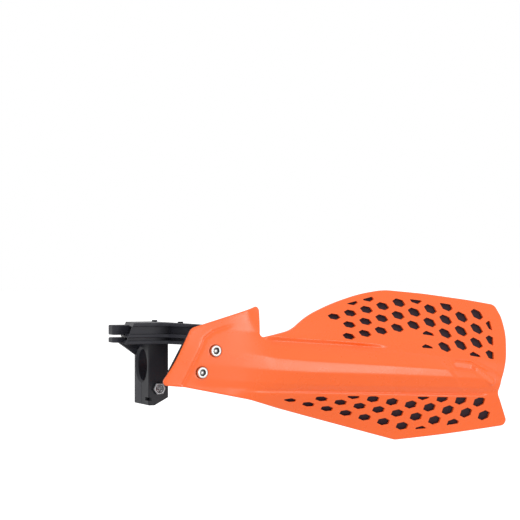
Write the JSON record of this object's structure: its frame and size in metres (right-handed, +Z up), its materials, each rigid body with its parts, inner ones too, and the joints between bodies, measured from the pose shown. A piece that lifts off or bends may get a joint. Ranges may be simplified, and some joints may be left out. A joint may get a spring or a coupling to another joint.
{
  "type": "motorcycle hand guard",
  "caption": "Left-hand motorcycle hand guard: ridged orange shield with vented wings, bolted to a black bracket that clamps on the handlebar.",
  "frame": {"origin": "middle of the bar clamp's bore, on its axis", "axes": "+X along the bar outboard, -Y forward so that the shield's outer face looks to -Y, +Z up"},
  "size_m": [0.368, 0.1044, 0.1382],
  "materials": {
    "shield": "satin moulded orange plastic",
    "liner": "dark matt sheet",
    "bracket": "black moulded plastic, slightly satin",
    "clamp_bolt": "bright zinc plate",
    "clamp_nut": "bright zinc plate",
    "shield_screw": "bright zinc plate",
    "shield_nut": "bright zinc plate"
  },
  "bodies": {
    "root": {"shield": "shield", "upper_vent_liner": "liner", "lower_vent_liner": "liner", "mounting_arm": "bracket", "clamp_cap": "bracket", "upper_clamp_bolt": "clamp_bolt", "lower_clamp_bolt": "clamp_bolt", "upper_clamp_nut": "clamp_nut", "lower_clamp_nut": "clamp_nut", "upper_shield_screw": "shield_screw", "lower_shield_screw": "shield_screw", "upper_shield_nut": "shield_nut", "lower_shield_nut": "shield_nut"}
  },
  "joints": []
}
